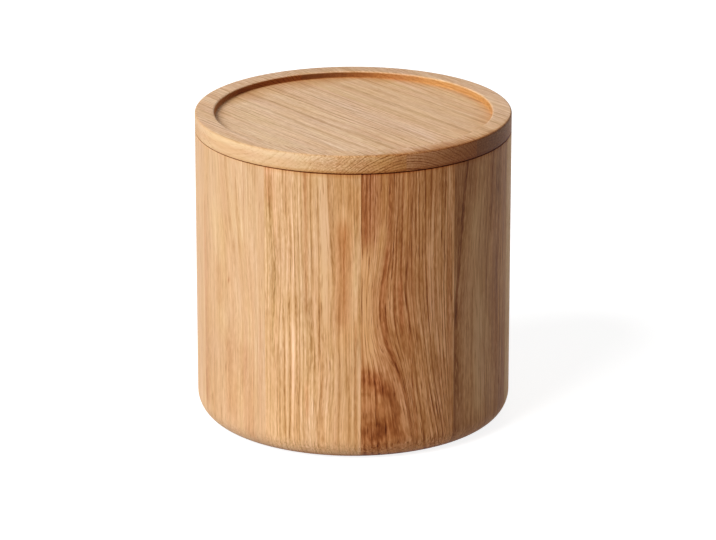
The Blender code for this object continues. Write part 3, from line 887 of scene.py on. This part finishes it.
def shadeLid(points, edge):
    # marks of the lid's edge, and painted shade and light on its rounding, the rim, the wall of the recess,
    # the corner under it and the seam. The edge has tone, red, gold and quiet by azimuth.
    radius, azimuth, height = turnedPlace(points)
    outer, recess, top, ease = wall["outer"], wall["outer"] - lid["rim"], lid["top"], lid["ease"]
    above = smoothStep(height, top - 0.8 * mm, top - 0.3 * mm)
    # painted shade on the wall of the recess, away from the front
    inRecess = smoothStep(radius, recess - 0.6 * mm, recess - 0.1 * mm) * (1 - above)
    inRecess *= 1 - smoothStep(radius, recess + 0.3 * mm, recess + 0.7 * mm)
    inRecess *= np.interp(azimuth, (-180, -85, -50, 75, 105, 180), (1, 1, 0, 0, 1, 1))
    # its lit right, where the painted shade is lighter and painted light turns it golden
    sunny = np.interp(azimuth, (75, 105, 140, 175), (0, 1, 1, 0))
    below = 1 - smoothStep(height, lid["seat"], lid["seat"] + 0.4 * mm)
    outside = smoothStep(radius, outer - 1.5 * mm, outer - 0.3 * mm)
    onFloor = smoothStep(-height, -top + lid["recess"] - 0.3 * mm, -top + lid["recess"])
    onFloor *= 1 - below * (1 - outside)
    # painted shade in the corner of the recess floor, least at the lit front left
    inCorner = onFloor * smoothStep(radius, recess - 6.0 * mm, recess) ** 2 * (1 - inRecess)
    inCorner *= 0.35 + 0.65 * smoothStep(np.abs(azimuth + 20), 70, 110)
    # painted shade in the seam, on the lid's lower edge
    inSeam = seamDepth(azimuth) * below * outside
    paintedShade = lid["recessShade"] * inRecess * (1 - 0.55 * sunny) + lid["cornerShade"] * inCorner + inSeam
    onSide = smoothStep(radius, outer - 0.7 * mm, outer - 0.1 * mm)
    places, *values = np.array(edge, dtype=float).T
    tone, red, gold, quiet = (onSide * np.interp(azimuth, places, value) for value in values)
    onRim = above * smoothStep(radius, recess, recess + ease) * (1 - smoothStep(radius, outer - ease, outer))
    # painted shade on the outer rounding at the front right, which faces away from the lamp
    frontRight = np.interp(azimuth, (-5, 12, 55, 85), (0, 1, 1, 0))
    onRound = above * smoothStep(radius, outer - ease * (1 + frontRight), outer - 0.5 * ease)
    paintedShade += lid["roundShade"] * onRound * frontRight
    # painted shade by azimuth on the rim and its rounding
    tone += onRim * np.interp(azimuth, *zip(*lid["rimTone"]))
    tone += onRound * np.interp(azimuth, *zip(*lid["roundTone"]))
    # painted sheen at the back of the rim: less gold and less red there
    behind = np.interp(azimuth, (-180, -150, -110, 50, 90, 180), (1, 1, 0, 0, 1, 1))
    red += 0.15 * onRim * (1 - 2 * behind)
    gold += lid["recessGold"] * inRecess * sunny - 0.6 * onRim * behind
    return np.stack([tone, red, gold, quiet]), paintedShade


# Soft silicone ring with two lips
seal = {
    "tip": cadHigh.x - wall["thickness"] - 0.15 * mm,
    "back": lid["spigot"] - lid["grooveDepth"] + 0.1 * mm,
    "low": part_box("seal_ring")[0].z,
    "high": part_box("seal_ring")[1].z,
}


def sealOutline():
    low, high, tip = seal["low"], seal["high"], seal["tip"]
    lip = (high - low) * 0.2
    points = [(seal["back"], low), (tip - 0.9 * mm, low)]
    points += arc(tip - lip, low + lip * 1.2, lip, -70, 70, 8)
    points += [(tip - 1.0 * mm, (low + high) / 2)]
    points += arc(tip - lip, high - lip * 1.2, lip, -70, 70, 8)
    points += [(tip - 0.9 * mm, high), (seal["back"], high)]
    return points


def makeSilicone():
    material, tree, shader = newMaterial("silicone")
    place = addNode(tree, "ShaderNodeTexCoord", {}).outputs["Object"]
    mist, dust = noise(tree, place, 260.0, 3.0), noise(tree, place, 2600.0, 2.0)
    color = mixColor(tree, fade(tree, mist, 0.3, 0.7), (0.66, 0.65, 0.61, 1), (0.78, 0.77, 0.73, 1))
    feed(tree, shader, {"Base Color": color, "Roughness": multiplyAdd(tree, dust, 0.25, 0.30),
                        "Normal": bumpWay(tree, 0.3, 0.03 * mm, dust),
                        "Subsurface Weight": 0.35, "Subsurface Radius": (4 * mm,) * 3})
    return material


# Floor and light
studio = {
    "floorRadius": 8.0,
    "floorColor": (0.50, 0.50, 0.50, 1),
    "floorGlow": 0.85,          # lifts what the camera sees to white, away from the shadow
    "worldStrength": 0.20,
    "keyAzimuth": -48.0,
    "keyElevation": 38.0,
    "keySpread": 36.0,          # how wide the lamp is, in degrees
    "keyStrength": 2.95,
}


def seenDirectly(tree):
    # 1 for what the camera and reflections see, 0 for the light that reaches matt surfaces
    path = addNode(tree, "ShaderNodeLightPath", {}).outputs
    mirrored = calc(tree, "MAXIMUM", path["Is Glossy Ray"], path["Is Transmission Ray"])
    return calc(tree, "MAXIMUM", path["Is Camera Ray"], mirrored)


def makeFloor():
    data = bpy.data.meshes.new("floor")
    mesh = bmesh.new()
    bmesh.ops.create_circle(mesh, cap_ends=True, segments=96, radius=studio["floorRadius"])
    mesh.to_mesh(data)
    mesh.free()
    floor = newObject("floor", data)
    material, tree, shader = newMaterial("paleFloor")
    glow = multiply(tree, seenDirectly(tree), studio["floorGlow"])
    feed(tree, shader, {"Base Color": studio["floorColor"], "Roughness": 0.9, "Specular IOR Level": 0.0,
                        "Emission Color": (1, 1, 1, 1), "Emission Strength": glow})
    data.materials.append(material)


def makeLight():
    world = bpy.data.worlds.new("studio")
    world.use_nodes = True
    tree = world.node_tree
    strength = fade(tree, seenDirectly(tree), 0.0, 1.0, studio["worldStrength"], 1.0)
    feed(tree, tree.nodes["Background"], {"Color": (1, 1, 1, 1), "Strength": strength})
    bpy.context.scene.world = world
    data = bpy.data.lights.new("key", "SUN")
    data.angle = math.radians(studio["keySpread"])
    data.energy = studio["keyStrength"]
    key = newObject("key", data)
    azimuth, elevation = math.radians(studio["keyAzimuth"]), math.radians(studio["keyElevation"])
    level = math.cos(elevation)
    way = Vector((math.sin(azimuth) * level, -math.cos(azimuth) * level, math.sin(elevation)))
    key.location = way
    key.rotation_euler = way.to_track_quat("Z", "Y").to_euler()
    bpy.context.scene.view_settings.view_transform = "Standard"


makeCamera(photoView)
makeFloor()
makeLight()
oakGroup = makeOakGroup()
print("camera, floor, light and oak ready")

for index, (name, figure) in enumerate(staveFigures.items()):
    makeStave(name, index, figure)
print("staves ready")

makeBoards("base_board", baseOutline(), base, "canister", "oak_base")
makeBoards("lid_board", lidOutline(), lid, "lid", "oak_lid")
print("base and lid ready")

sealData = turnedGrid("seal_ring", sealOutline(), 0, 360, 180)
finishMesh(sealData, 50)
addPiece("silicone_ring", sealData, makeSilicone(), "seal", "silicone", "seal_ring")
print("seal ready")
